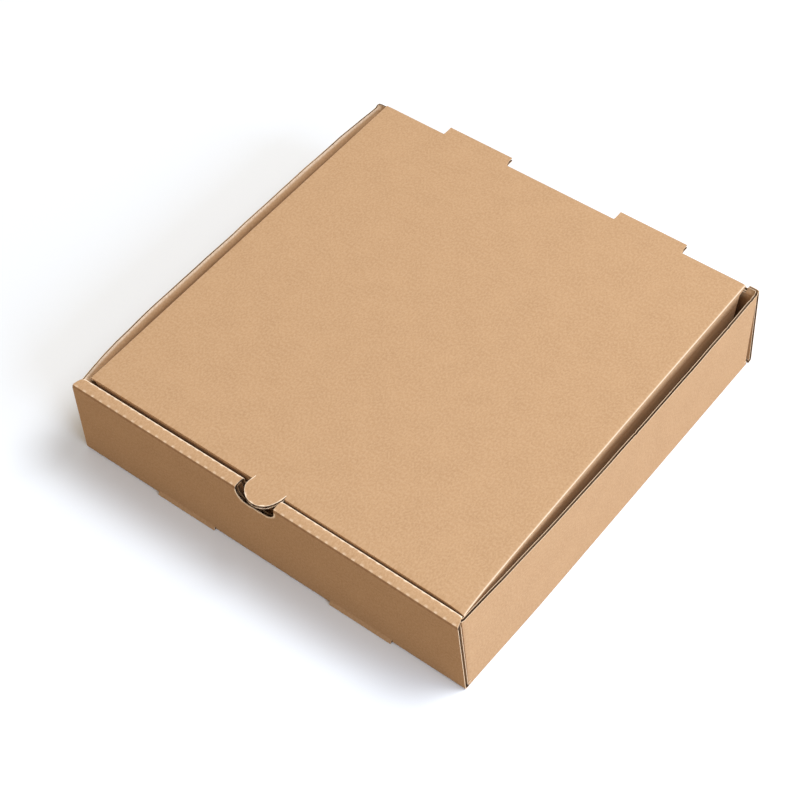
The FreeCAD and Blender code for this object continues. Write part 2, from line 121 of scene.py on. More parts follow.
# The lid.
LID_HALF = lid_high.x / MM
LID_TOP = lid_high.z / MM
LID_FRONT = 139.45
FLAP_DEPTH = 50.0
TUCK_LEAN = 5.99
TUCK_HALF = 135.4
HINGE_Y = TRAY_BACK - BOARD / 2
BACK_TAB_OFFSET = 66.6
BACK_TAB_WIDTH = 49.4
BACK_TAB_TIP = lid_high.y / MM
WINDOW_PLAY = 0.5
THUMB_HALF = 11.85
THUMB_TIP = -lid_low.y / MM + 0.5
KERF = 0.3
CORNER_REACH = 2.2

# How far the lid lies off its straight place.
THUMB_PULL = 1.5
LID_LEFT = 0.5
LID_TURN = 1.6
CORNER_DIP = 0.9
EDGE_PULL = 1.3
TIP_OUT = 1.0
TIP_FORWARD = 1.1
HINGE_CRUSH = 0.5
HINGE_LIFT = 0.03
CRUSH_LENGTH = 3.0

# Pale places from rubbing at creases and rims, painted highlights, and painted shade and shadow in a
# crease, in gaps and on cut edges.
PALEST = 2.6
CREASE_PALE = 0.72
CREASE_SHADE = 1.3
STRIP_PALE_AND_HIGHLIGHT = 2.4
INNER_HIGHLIGHT = 0.65
INNER_SHADOW = 0.45
LID_PALE_LEFT = 0.9
LID_PALE_RIGHT = 1.9
LID_SIDE_SHADE = 0.4
TUCK_SHADE = 0.12
THUMB_PALE = 1.8
RAW_DEPTH = 1.0

# The camera of the photograph, in degrees and mm.
AZIMUTH = 41.53
ELEVATION = 50.97
ROLL = -4.53
LENS = 89.22
CAMERA_PLACE = (503.68, -588.66, 960.25)


class FoldPath:
    """The outer face's line seen from the side: straight runs, each ended by a fold inwards.

    It starts at the origin along the first axis, and the second axis points to the inner side.
    Sharpness says for each fold how far it is pressed out to a corner."""

    def __init__(self, runs, sharpness):
        self.sharpness = sharpness
        self.parts = []
        place = np.zeros(2)
        heading = 0.0
        reached = 0.0
        for length, turn in runs:
            along = np.array([math.cos(heading), math.sin(heading)])
            inward = np.array([-along[1], along[0]])
            self.parts.append(("run", reached, length, tuple(place), tuple(along), tuple(inward)))
            place = place + along * length
            reached += length
            if turn:
                angle = math.radians(turn)
                arc = FOLD_MIDDLE * angle
                self.parts.append(("fold", reached, arc, tuple(place), tuple(along), tuple(inward)))
                centre = place + inward * FOLD_OUT
                heading += angle
                outward = np.array([math.sin(heading), -math.cos(heading)])
                place = centre + outward * FOLD_OUT
                reached += FOLD_MIDDLE * angle
        self.end = reached

    def on_run(self, part, s, h):
        """Places on a straight run, which may be carried on beyond its ends."""
        _, start, _, place, along, inward = part
        return np.array(place) + np.outer(s - start, along) + np.outer(h, inward)

    def in_fold(self, part, s, h):
        """Places in a fold, pushed out to a corner as sharp as pressed board has."""
        _, start, length, place, along, inward = part
        angle = (s - start) / FOLD_MIDDLE
        whole = length / FOLD_MIDDLE
        to_side = np.minimum(angle, whole - angle)
        sharpness = self.sharpness[self.parts.index(part) // 2]
        push = 1 + sharpness * (1 - h / BOARD) * (1 / np.cos(to_side) - 1)
        radius = (FOLD_OUT - h) * push
        outward = np.outer(np.sin(angle), along) - np.outer(np.cos(angle), inward)
        return np.array(place) + np.array(inward) * FOLD_OUT + outward * radius[:, None]

    def at(self, s, h):
        """Places at distance s along the sheet and depth h below its outer face."""
        places = np.zeros((len(s), 2))
        for index, part in enumerate(self.parts):
            start = part[1] if index else -math.inf
            last = index == len(self.parts) - 1
            end = math.inf if last else self.parts[index + 1][1]
            here = (s >= start) & (s < end)
            if here.any():
                move = self.on_run if part[0] == "run" else self.in_fold
                places[here] = move(part, s[here], h[here])
        return places

    def rows(self):
        """Distances along the sheet at which it needs an edge across."""
        found = []
        for kind, start, length, _, _, _ in self.parts:
            if kind == "fold":
                found += [start + length * step / ARC_STEPS for step in range(ARC_STEPS + 1)]
                found += [start - ROW_MARGIN, start + length + ROW_MARGIN]
        return found


def cut_sheet(loops, columns, rows):
    """Cuts a flat outline with holes into cells between columns and rows.

    Returns the flat points, the faces and the directed edges of the outline."""
    loops = [np.asarray(loop, float) for loop in loops]
    corners = np.concatenate(loops)
    edges = np.concatenate([np.hstack([loop, np.roll(loop, -1, axis=0)]) for loop in loops])
    apart = np.abs(columns[:, None] - corners[None, :, 0]).min(axis=1)
    lines = np.unique(np.round(np.concatenate([columns[apart > ON_LINE], corners[:, 0]]), 5))
    lines = lines[(lines >= corners[:, 0].min()) & (lines <= corners[:, 0].max())]
    low = np.minimum(edges[:, 0], edges[:, 2])
    high = np.maximum(edges[:, 0], edges[:, 2])
    marks = [set() for _ in lines]
    spans = []
    for index in range(len(lines) - 1):
        middle = (lines[index] + lines[index + 1]) / 2
        crossing = edges[(low < middle) & (high > middle)]
        slope = (crossing[:, 3] - crossing[:, 1]) / (crossing[:, 2] - crossing[:, 0])
        left = np.round(crossing[:, 1] + slope * (lines[index] - crossing[:, 0]), 5)
        right = np.round(crossing[:, 1] + slope * (lines[index + 1] - crossing[:, 0]), 5)
        order = np.argsort(left + right)
        marks[index].update(left.tolist())
        marks[index + 1].update(right.tolist())
        spans.append([(left[order[k]], left[order[k + 1]], right[order[k]], right[order[k + 1]])
                      for k in range(0, len(order), 2)])
    steps = []
    for mark in marks:
        known = np.array(sorted(mark))
        apart = np.abs(rows[:, None] - known[None, :]).min(axis=1)
        steps.append(np.unique(np.concatenate([known, np.round(rows[apart > ON_LINE], 5)])))
    numbers = {}
    points = []

    def number(line, v):
        key = (line, float(v))
        if key not in numbers:
            numbers[key] = len(points)
            points.append((lines[line], v))
        return numbers[key]

    faces = []
    for index, pieces in enumerate(spans):
        for left_low, left_high, right_low, right_high in pieces:
            left = steps[index]
            right = steps[index + 1]
            left = left[(left >= left_low) & (left <= left_high)]
            right = right[(right >= right_low) & (right <= right_high)]
            a = 0
            b = 0
            while a < len(left) - 1 or b < len(right) - 1:
                left_next = left[a + 1] if a < len(left) - 1 else math.inf
                right_next = right[b + 1] if b < len(right) - 1 else math.inf
                face = [number(index, left[a]), number(index + 1, right[b])]
                if right_next <= left_next:
                    face.append(number(index + 1, right_next))
                if left_next <= right_next:
                    face.append(number(index, left_next))
                a += left_next <= right_next
                b += right_next <= left_next
                faces.append(face)
    directed = {(face[k], face[(k + 1) % len(face)]) for face in faces for k in range(len(face))}
    outline = sorted(edge for edge in directed if (edge[1], edge[0]) not in directed)
    return np.array(points), faces, outline


def rounded_loop(left, right, low, high, radius, steps=8):
    """A rectangle with rounded corners."""
    centres = [(right - radius, high - radius), (left + radius, high - radius),
               (left + radius, low + radius), (right - radius, low + radius)]
    loop = []
    for quarter, (u, v) in enumerate(centres):
        for step in range(steps + 1):
            angle = math.pi / 2 * (quarter + step / steps)
            loop.append((u + radius * math.cos(angle), v + radius * math.sin(angle)))
    return loop


def mirrored(half):
    """A closed outline from its right half, which runs from front to back."""
    return half + [(-u, v) for u, v in reversed(half)]


def wave(u, v, drift):
    """Depth of the fluted paper's middle below the outer face."""
    reach = BOARD / 2 - LINER - FLUTE_PAPER / 2
    return BOARD / 2 + reach * np.sin(2 * math.pi * (u + drift(u, v)) / PITCH)


def no_drift(u, v):
    """For a board whose cuts run straight along the flutes."""
    return np.zeros(len(u))


# The tray's fold paths: base and front wall, base and back wall, base and side wall, side wall and flap.
FRONT_RUN = FRONT_HEIGHT - 2 * FOLD_OUT
STRIP_RUN = FRONT_DEPTH - 2 * FOLD_OUT
INNER_RUN = FRONT_RUN + GAP
BACK_HEIGHT = LID_TOP - BOARD - CREASE_GAP
BASE_FRONT = TRAY_FRONT - FOLD_OUT
BASE_BACK = TRAY_BACK - FOLD_OUT
BASE_SIDE = TRAY_HALF - FOLD_OUT
FLAP_FACE = TRAY_BACK - BOARD - GAP
FLAP_TURN = FLAP_FACE - FOLD_OUT

front_path = FoldPath([(BASE_FRONT, 90 - FRONT_LEAN), (FRONT_RUN, 90), (STRIP_RUN, 90), (INNER_RUN, 0)],
                      (0.5, 0.62, 0.0))
back_path = FoldPath([(BASE_BACK, 90), (BACK_HEIGHT - FOLD_OUT, 0)], (0.5,))
side_path = FoldPath([(BASE_SIDE, 90), (SIDE_HEIGHT - FOLD_OUT, 0)], (0.9,))
flap_path = FoldPath([(FLAP_TURN, 90), (FLAP_LENGTH - FOLD_OUT, 0)], (0.5,))
SIDE_FOOT = BASE_SIDE + ARC
FLAP_RISE = 0.6
FLAP_HEIGHT = 57.1
EAR_HEIGHT = 60.4
EAR_FOOT = 60.3
EAR_WIDTH = 4.2
EAR_SLOPE = 0.5
FLAP_FOOT = SIDE_FOOT + FLAP_RISE
FLAP_TOP = SIDE_FOOT + FLAP_HEIGHT
EAR_TOP = SIDE_FOOT + EAR_HEIGHT
WALL_TOP = side_path.end
FLAP_START = FLAP_TURN + ARC
FRONT_FOOT = front_path.parts[2][1]
CREASE = front_path.parts[3][1]
STRIP_BACK = front_path.parts[6][1]
NOTCH_FOOT = CREASE + FOLD_OUT - NOTCH_DEPTH
NOTCH_BACK = STRIP_BACK - FOLD_OUT + NOTCH_DEPTH


def tray_loops():
    """The tray's blank: the cross-shaped outline, two slots with their lips and the thumb notch."""
    lock_in = LOCK_OFFSET - LOCK_WIDTH / 2
    lock_out = LOCK_OFFSET + LOCK_WIDTH / 2
    inner_end = front_path.end
    lock_end = inner_end + BOARD
    back_end = back_path.end
    window_in = BACK_TAB_OFFSET - BACK_TAB_WIDTH / 2 - WINDOW_PLAY
    window_out = BACK_TAB_OFFSET + BACK_TAB_WIDTH / 2 + WINDOW_PLAY
    window_foot = back_end - WINDOW_DEPTH
    flap_end = flap_path.end
    half = [
        (lock_in, -inner_end), (lock_in, -lock_end), (lock_out, -lock_end), (lock_out, -inner_end),
        (STRIP_HALF, -inner_end), (STRIP_HALF, -STRIP_BACK), (CREASE_HALF, -CREASE),
        (TRAY_HALF, -FRONT_FOOT), (TRAY_HALF, -BASE_FRONT), (BASE_SIDE, -BASE_FRONT),
        (BASE_SIDE, GAP - BASE_FRONT), (SIDE_FOOT, GAP - BASE_FRONT), (SIDE_FOOT, -FLAP_TURN),
        (FLAP_FOOT, -FLAP_TURN), (FLAP_FOOT, -flap_end), (FLAP_TOP, -flap_end), (FLAP_TOP, -FLAP_START),
        (WALL_TOP, -FLAP_START), (WALL_TOP, FLAP_TURN), (EAR_TOP, FLAP_TURN + EAR_SLOPE),
        (EAR_TOP, FLAP_START + EAR_WIDTH), (FLAP_TOP, FLAP_START + EAR_WIDTH + EAR_SLOPE),
        (FLAP_TOP, flap_end), (FLAP_FOOT, flap_end), (FLAP_FOOT, FLAP_TURN), (SIDE_FOOT, FLAP_TURN),
        (SIDE_FOOT, BASE_BACK - GAP), (BASE_SIDE, BASE_BACK - GAP), (BASE_SIDE, BASE_BACK),
        (TRAY_HALF, BASE_BACK), (TRAY_HALF, back_end), (window_out, back_end),
        (window_out, window_foot), (window_in, window_foot), (window_in, back_end),
    ]
    slot_back = BASE_FRONT - (FRONT_DEPTH - FOLD_OUT) - SLOT_PLAY
    lip_end = FRONT_FOOT - FOLD_OUT + GAP
    slot = [
        (lock_in - SLOT_PLAY, -slot_back), (lock_in - SLOT_PLAY, -FRONT_FOOT), (lock_in, -FRONT_FOOT),
        (lock_in, -lip_end), (lock_out, -lip_end), (lock_out, -FRONT_FOOT),
        (lock_out + SLOT_PLAY, -FRONT_FOOT), (lock_out + SLOT_PLAY, -slot_back),
    ]
    notch = rounded_loop(NOTCH_LEFT, NOTCH_RIGHT, -NOTCH_BACK, -NOTCH_FOOT, NOTCH_CORNER)
    outline = [(u + LOCK_SHIFT * (v <= -inner_end and abs(u) <= lock_out), v) for u, v in mirrored(half)]
    slots = [[(side * u + LOCK_SHIFT, v) for u, v in slot] for side in (1, -1)]
    return [outline] + slots + [notch]


# The bows below are in mm. Their numbers say where a bow starts, over which length and how steeply.
def ramp(value, start, length, power=1):
    """0 up to the start, and from there a rise to 1 over the length."""
    return np.clip((value - start) / length, 0, 1) ** power


def wall_stand(x, y):
    """How far a side wall's top stands out beyond its foot, at a place along the wall."""
    left = STAND_LEFT - 4.3 * np.abs((y - 14) / 150) ** 5
    right_front = STAND_RIGHT - 3.9 * np.clip((40 - y) / 175, 0, None) ** 1.9
    right = right_front - 0.5 * np.clip((y - 60) / 88, 0, None) ** 2
    return np.where(x < 0, left, right)


def edge_ripple(y, seed):
    """Small unevenness of a raw edge along its length."""
    return 0.16 * np.sin(y / 7.3 + seed) + 0.12 * np.sin(y / 3.1 + 2 * seed) + 0.2 * np.sin(y / 23 + seed)


def ease(value):
    """A smooth step from 0 to 1."""
    value = np.clip(value, 0, 1)
    return value * value * (3 - 2 * value)


def band(value, middle, width):
    """1 on a line and 0 away from it."""
    return np.exp(-((value - middle) / width) ** 2)


def strip_bow(x):
    """How far back the front wall's top lies, along its length."""
    past_notch = ease((x - NOTCH_LEFT) / NOTCH_WIDTH)
    return 0.4 * past_notch - 1.05 * ramp(x, NOTCH_RIGHT, 126, 1.4)


def nicks(y):
    """Small tears in the right wall's raw edge."""
    return sum(NICK_DEPTH * band(y, middle, NICK_WIDTH) for middle in NICKS)


def place_front(u, v, h):
    """The front wall: outer panel, strip, inner panel and locking tabs, and the lips of the slots."""
    along = -v
    places = front_path.at(along, h)
    lock = np.abs(np.abs(u - LOCK_SHIFT) - LOCK_OFFSET) < LOCK_WIDTH / 2 + ON_LINE
    lip = lock & (along < FRONT_FOOT)
    if lip.any():
        places[lip] = front_path.on_run(front_path.parts[2], along[lip], h[lip])
        places[lip, 0] += LIP_FLARE * np.clip(1 - places[lip, 1] / FOLD_OUT, 0, 1)
    height = places[:, 1]
    narrow = ease((along - CREASE - ARC) / 3) * ease((height - 52) / 6)
    narrow = STRIP_NARROW * narrow * (u > NOTCH_RIGHT - ON_LINE)
    x = u - FRONT_END_PULL * ramp(-u, 0, TRAY_HALF, 6)
    y = -places[:, 0] + strip_bow(u) * ease(height / FRONT_HEIGHT) - narrow
    return np.stack([x, y, height], axis=1)


def place_back(u, v, h):
    """The back wall, with its foot spread and its right end leaning back."""
    places = back_path.at(v, h)
    risen = np.clip(places[:, 1] / BACK_HEIGHT, 0, None)
    x = u + BACK_SPREAD * (1 - risen) * ramp(u, 0, TRAY_HALF, 12)
    y = places[:, 0] + BACK_END_LEAN * risen ** 1.5 * ramp(u, 125, 20, 3)
    return np.stack([x, y, places[:, 1]], axis=1)


def place_side(u, v, h):
    """A side wall with its two corner flaps. Its raw edge is crushed, bowed and nicked."""
    across = np.abs(u)
    right = u > 0
    pressed = np.where(right, PRESSED_RIGHT, PRESSED_LEFT) * ease((across - WALL_TOP) / PRESS_LENGTH + 1)
    deep = h * (1 - pressed)
    places = side_path.at(across, deep)
    reach = places[:, 0]
    height = places[:, 1]
    depth = np.abs(v)
    corner = (depth > FLAP_TURN) & (across > SIDE_FOOT + ON_LINE)
    if corner.any():
        turned = flap_path.at(depth[corner], deep[corner])
        depth[corner] = turned[:, 0]
        reach[corner] = TRAY_HALF - turned[:, 1]
        height[corner] = FOLD_OUT + across[corner] - SIDE_FOOT
        depth[corner] += EAR_LEAN * np.clip(height[corner] - EAR_FOOT, 0, None) * (v[corner] > 0)
    y = np.sign(v) * depth
    share = np.clip((height - FOLD_OUT) / (SIDE_HEIGHT - FOLD_OUT), 0, 1)
    reach = reach + wall_stand(u, y) * share ** 1.25
    foot = FOOT_SPREAD * right * (1 - share) * ease((y + 148) / 80)
    slant = np.where(right, SLANT_RIGHT, SLANT_LEFT) * (1 - share) * ramp(y, 100, 45, 2)
    thrown = np.where(right, THROWN_RIGHT, THROWN_LEFT) * share ** 1.5 * ramp(y, 115, 28, 3)
    edge = edge_ripple(y, np.sign(u)) - EDGE_DIP - nicks(y) * right
    return np.stack([np.sign(u) * reach + foot, y - slant + thrown, height + edge * share ** 9], axis=1)


def place_tray(u, v, h):
    """Folds the tray's blank. What lies in no wall stays flat as the base."""
    points = np.stack([u, v, h], axis=1)
    wall = (np.abs(v) >= BASE_FRONT - HAIR) & (np.abs(u) <= TRAY_HALF + HAIR)
    side = (np.abs(u) > BASE_SIDE) & ~wall
    for part, place in ((wall & (v < 0), place_front), (wall & (v > 0), place_back), (side, place_side)):
        if part.any():
            points[part] = place(u[part], v[part], h[part])
    return points


# The lid's fold paths: top and side flap, top and tuck flap.
LID_FLAT = LID_HALF - FOLD_OUT
LID_FOLD = LID_FRONT - FOLD_OUT
FLAP_RUN = FLAP_DEPTH - FOLD_OUT
lid_side_path = FoldPath([(LID_FLAT, 90), (FLAP_RUN, 0)], (0.85,))
lid_front_path = FoldPath([(LID_FOLD, 90 + TUCK_LEAN), (FLAP_RUN, 0)], (0.95,))
SIDE_FLAP_FRONT = 133.68
SIDE_FLAP_BACK = 140.75
SIDE_FLAP_SLOPE = 15.0
CORNER_PLAY = 0.5
HINGE_OVER = 0.6
HINGE_REACH = 2.0
CUT_START = 0.05
CUT_FOOT = 0.02
NOSE = BOARD / 2
NOSE_END = HINGE_Y + math.pi * NOSE


def thumb_curve(half, tip, steps=14):
    """The half round end of the thumb tab, from its left side to its right."""
    centre = tip - half
    angles = [math.pi * step / steps for step in range(steps + 1)]
    return [(-half * math.cos(a), -centre - half * math.sin(a)) for a in angles]


def lid_loops():
    """The lid's blank: top, two side flaps, tuck flap, back tabs and the cut round the thumb tab."""
    tab_in = BACK_TAB_OFFSET - BACK_TAB_WIDTH / 2
    tab_out = BACK_TAB_OFFSET + BACK_TAB_WIDTH / 2
    side_end = lid_side_path.end
    side_fold = LID_FLAT + ARC
    bottom = SIDE_FLAP_BACK - FLAP_RUN * math.tan(math.radians(SIDE_FLAP_SLOPE))
    half = [
        (TUCK_HALF, -lid_front_path.end), (TUCK_HALF, -LID_FOLD - CORNER_REACH),
        (LID_FLAT + CORNER_REACH, -LID_FOLD - CORNER_REACH),
        (LID_FLAT + CORNER_REACH, -SIDE_FLAP_FRONT - CORNER_PLAY),
        (side_fold, -SIDE_FLAP_FRONT - CORNER_PLAY), (side_fold, -SIDE_FLAP_FRONT),
        (side_end, -SIDE_FLAP_FRONT), (side_end, bottom), (side_fold, SIDE_FLAP_BACK),
        (LID_FLAT + HINGE_REACH, HINGE_Y + HINGE_OVER), (LID_FLAT, HINGE_Y + HINGE_OVER),
        (LID_FLAT - CORNER_PLAY, NOSE_END),
        (tab_out, NOSE_END), (tab_out, BACK_TAB_TIP), (tab_in, BACK_TAB_TIP), (tab_in, NOSE_END),
    ]
    cut = thumb_curve(THUMB_HALF + KERF, THUMB_TIP + KERF)
    tab = thumb_curve(THUMB_HALF, THUMB_TIP)
    start = -LID_FOLD - CUT_START
    around = [(-THUMB_HALF - CUT_FOOT, start)] + cut + [(THUMB_HALF + CUT_FOOT, start)]
    inside = [(-THUMB_HALF, start)] + tab + [(THUMB_HALF, start)]
    return [mirrored(half), around + list(reversed(inside))]


def on_thumb(u, v):
    """Which flat places lie on the thumb tab in front of the fold."""
    centre = THUMB_TIP - THUMB_HALF
    ahead = np.clip(-v - centre, 0, None)
    return (np.hypot(u, ahead) < THUMB_HALF + KERF / 2) & (-v > LID_FOLD)


def front_bow(x):
    """How far back the lid's front edge lies, along its length."""
    bulge = 0.3 * np.clip(1 - (x / 75 + 1) ** 2, 0, 1)
    return 1.2 + bulge - 0.65 * ease((x + 13) / 27) - 0.65 * ramp(x, 14, 126)


def place_lid(u, v, h):
    """Folds the lid's blank, crushes and rounds its hinge edge, and lays it a little askew."""
    across = np.abs(u)
    points = np.stack([u, v, LID_TOP - h], axis=1)
    thumb = on_thumb(u, v)
    front = (-v > LID_FOLD) & ~thumb
    drop = np.zeros(len(u))
    if front.any():
        places = lid_front_path.at(-v[front], h[front])
        points[front, 1] = -places[:, 0]
        drop[front] = places[:, 1] - h[front]
    side = across > LID_FLAT
    if side.any():
        places = lid_side_path.at(across[side], h[side])
        points[side, 0] = np.sign(u[side]) * places[:, 0]
        drop[side] = np.hypot(drop[side], places[:, 1] - h[side])
    points[:, 2] -= drop
    points[:, 0] -= THUMB_PULL * ease((-v - LID_FOLD) / 10) * thumb
    on_tab = np.abs(across - BACK_TAB_OFFSET) < BACK_TAB_WIDTH / 2 + HAIR
    at_hinge = ~on_tab & (across < LID_FLAT)
    points[:, 2] += h * HINGE_CRUSH * ease((v - HINGE_Y) / CRUSH_LENGTH + 1) * at_hinge
    nose = at_hinge & (v > HINGE_Y)
    if nose.any():
        angle = (v[nose] - HINGE_Y) / NOSE
        radius = NOSE - h[nose] * HINGE_CRUSH + HINGE_LIFT
        points[nose, 1] = HINGE_Y + radius * np.sin(angle)
        points[nose, 2] = LID_TOP - NOSE + radius * np.cos(angle)
    toward_front = (HINGE_Y - points[:, 1]) / (HINGE_Y + LID_FRONT)
    points[:, 1] += front_bow(u) * ease(2 * toward_front - 1)
    points[:, 0] += LID_TURN * toward_front - LID_LEFT
    forward = ramp(toward_front, 0, 1, 3)
    to_right = ramp(points[:, 0], 0, LID_HALF, 3)
    points[:, 2] -= CORNER_DIP * to_right * forward
    points[:, 0] -= EDGE_PULL * to_right * (1 - forward)
    tip = (to_right * forward) ** 10
    points[:, 0] += TIP_OUT * tip
    points[:, 1] -= TIP_FORWARD * tip
    return points


def add_plate(name, body, sheet, place, low, high, facing, materials, marking):
    """A closed thin sheet between two depths, folded into place.

    facing is 1 where depth grows along the flat sheet's normal and -1 where it grows against it.
    The mesh carries each point's flat place and how pale it is from rubbing and painted highlights, or how
    dark from painted shade, for the materials."""
    flat, faces, outline = sheet
    u = np.concatenate([flat[:, 0], flat[:, 0]])
    v = np.concatenate([flat[:, 1], flat[:, 1]])
    h = np.concatenate([low, high])
    count = len(flat)
    points = place(u, v, h) * MM
    polygons = [face[::-1] for face in faces]
    polygons += [[k + count for k in face] for face in faces]
    skins = len(polygons)
    polygons += [[a, b, b + count, a + count] for a, b in outline]
    if facing < 0:
        polygons = [polygon[::-1] for polygon in polygons]
    mesh = bpy.data.meshes.new(name)
    mesh.from_pydata(points.tolist(), [], polygons)
    for material in materials:
        mesh.materials.append(material)
    slots = np.zeros(len(polygons), np.int32)
    slots[skins:] = 1
    mesh.polygons.foreach_set("material_index", slots)
    mesh.polygons.foreach_set("use_smooth", np.ones(len(polygons), bool))
    mesh.set_sharp_from_angle(angle=math.radians(SHARP_ANGLE))
    flat_place = mesh.attributes.new("flat_place", "FLOAT_VECTOR", "POINT")
    pattern = np.stack([u, v, h * PATTERN_DEPTH], axis=1)
    flat_place.data.foreach_set("vector", pattern.astype(np.float32).ravel())
    wear_and_light = mesh.attributes.new("wear_and_light", "FLOAT", "POINT")
    wear_and_light.data.foreach_set("value", marking(u, v, h).astype(np.float32))
    mesh.update()
    piece = bpy.data.objects.new(name, mesh)
    bpy.context.scene.collection.objects.link(piece)
    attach(piece, body)
    return piece


def tray_wear_and_light(u, v, h):
    """How pale the tray's liners are from rubbing and painted highlights, or below 0 how dark from painted
    shade.

    Pale: the front wall's two creases and the notch's rim from rubbing, the strip's back crease also from a
    painted highlight, and the inner side of the left wall's top from a painted highlight."""
    front = -v
    middle = ARC / 2
    wear_and_light = CREASE_PALE * band(front, CREASE + 1.05 * middle, 0.3)
    # Painted shade: a dark line in the front crease, next to its pale line.
    wear_and_light = wear_and_light - CREASE_SHADE * band(front, CREASE + 0.6 * middle, 0.38)
    # The strip's back crease: pale from rubbing, and a painted highlight along its rounded edge.
    wear_and_light = wear_and_light + STRIP_PALE_AND_HIGHLIGHT * band(front, STRIP_BACK - middle, 0.5)
    # Painted highlight on the inner side of the left wall's top, where light reaches past the lid's edge,
    # and a painted shadow line below it.
    below_top = WALL_TOP - np.abs(u)
    inner_top = (below_top < 20) & (np.abs(v) < FLAP_START) & (h > BOARD / 2) & (u < 0)
    painted_highlight_top = INNER_HIGHLIGHT * (1 - ease((below_top - 2) / 4))
    painted_shadow_line = INNER_SHADOW * ease((below_top - 4.5) / 2) * ease((12 - below_top) / 4)
    wear_and_light = wear_and_light + inner_top * (painted_highlight_top - painted_shadow_line)
    aside = np.abs(u - NOTCH_MIDDLE) - NOTCH_WIDTH / 2 + NOTCH_CORNER
    beyond = np.abs(front - (NOTCH_FOOT + NOTCH_BACK) / 2) - (NOTCH_BACK - NOTCH_FOOT) / 2 + NOTCH_CORNER
    to_notch = np.hypot(np.clip(aside, 0, None), np.clip(beyond, 0, None)) - NOTCH_CORNER
    # Painted shade: the inner liner's and the flutes' cut edges round the thumb notch are made dark.
    wear_and_light = np.where((np.abs(to_notch) < ON_LINE) & (h > RAW_DEPTH), -1.0, wear_and_light)
    rim = PALEST * band(to_notch, 0, 0.8) * (h < RAW_DEPTH) * (front < CREASE)
    wear_and_light = np.maximum(wear_and_light, np.where(rim > 0.2, rim, -1))
    return np.clip(wear_and_light, -1, PALEST)


def lid_wear_and_light(u, v, h):
    """How pale the lid's liners are from rubbing at the side folds and the thumb tab's rim, or below 0 how
    dark from painted shade on the side flaps and the tuck flap.
    """
    middle = ARC / 2
    past = np.abs(u) - LID_FLAT
    side = np.where(u > 0, LID_PALE_RIGHT, LID_PALE_LEFT) * band(past, 0.95 * middle, 0.32)
    # Painted shade on the side flaps, in the gaps between the lid and the tray's walls.
    side = side - LID_SIDE_SHADE * ease((past - 3) / 6) * ease((24 - past) / 12)
    centre = THUMB_TIP - THUMB_HALF
    to_rim = THUMB_HALF - np.hypot(u, np.clip(-v - centre, 0, None))
    thumb = on_thumb(u, v) & (-v > LID_FOLD + 1)
    rim = np.where(thumb, THUMB_PALE * band(to_rim, 0, 0.5), 0)
    turned = -v - LID_FOLD
    # Painted shade on the tuck flap just past its fold, in the gap behind the front wall's strip.
    fold = -TUCK_SHADE * ease((turned - middle) / 1.2) * ease((14 - turned) / 8)
    front = np.where(on_thumb(u, v) | (-v < LID_FOLD - 2), 0.0, fold)
    return np.clip(side + front + rim, -1, 2.0)


def add_board(name, body, loops, place, folds, rows, facing, marking, drift):
    """One board: outer liner, fluted paper and inner liner."""
    corners = np.concatenate([np.asarray(loop) for loop in loops])
    step = PITCH / CUTS_PER_FLUTE
    first = math.floor(corners[:, 0].min() / step)
    last = math.ceil(corners[:, 0].max() / step)
    columns = np.concatenate([np.arange(first, last + 1) * step, folds, -folds])
    columns = np.unique(np.round(columns, 4))
    sheet = cut_sheet(loops, columns, np.unique(np.round(rows, 4)))
    flat = sheet[0]
    none = np.zeros(len(flat))
    middle = wave(flat[:, 0], flat[:, 1], drift)
    skins = (kraft, raw_edge)
    outer = add_plate(name + "_outer_liner", body, sheet, place, none, none + LINER, facing, skins, marking)
    inner = add_plate(name + "_inner_liner", body, sheet, place, none + BOARD - LINER, none + BOARD,
                      facing, skins, marking)
    flutes = add_plate(name + "_flutes", body, sheet, place, middle - FLUTE_PAPER / 2,
                       middle + FLUTE_PAPER / 2, facing, (shaded_fluting, shaded_fluting_edge), marking)
    return outer, inner, flutes


def new_material(name, roughness, specular):
    """An empty node material with its uniform values on the shader."""
    material = bpy.data.materials.new(name)
    material.use_nodes = True
    shader = material.node_tree.nodes["Principled BSDF"]
    shader.inputs["Roughness"].default_value = roughness
    shader.inputs["Specular IOR Level"].default_value = specular
    return material, material.node_tree, shader


def feed(tree, socket, value):
    """Sets a node's input to a value or to another node's output."""
    if isinstance(value, bpy.types.NodeSocket):
        tree.links.new(value, socket)
    else:
        socket.default_value = value


def add_node(tree, kind, **inputs):
    """A node with some of its inputs fed by name, or by number after an underscore."""
    node = tree.nodes.new(kind)
    for name, value in inputs.items():
        feed(tree, node.inputs[int(name[1:])] if name[0] == "_" else node.inputs[name], value)
    return node


def attribute(tree, name, output):
    """What the mesh carries under this name."""
    node = tree.nodes.new("ShaderNodeAttribute")
    node.attribute_name = name
    return node.outputs[output]


def noise(tree, place, scale, detail, stretch=None):
    """Noise over the flat sheet; stretch draws it out along the flutes."""
    if stretch:
        node = add_node(tree, "ShaderNodeVectorMath", _0=place, _1=stretch)
        node.operation = "MULTIPLY"
        place = node.outputs[0]
    found = add_node(tree, "ShaderNodeTexNoise", Vector=place, Scale=scale, Detail=detail)
    return found.outputs["Fac"]


def math_node(tree, operation, first, second=0.0):
    """One sum, product or other step of arithmetic."""
    node = add_node(tree, "ShaderNodeMath", _0=first, _1=second)
    node.operation = operation
    return node.outputs[0]


def remap(tree, value, low, high, new_low, new_high):
    """A value moved from one range to another, kept within it."""
    node = add_node(tree, "ShaderNodeMapRange", Value=value)
    for name, number in (("From Min", low), ("From Max", high), ("To Min", new_low), ("To Max", new_high)):
        node.inputs[name].default_value = number
    return node.outputs["Result"]


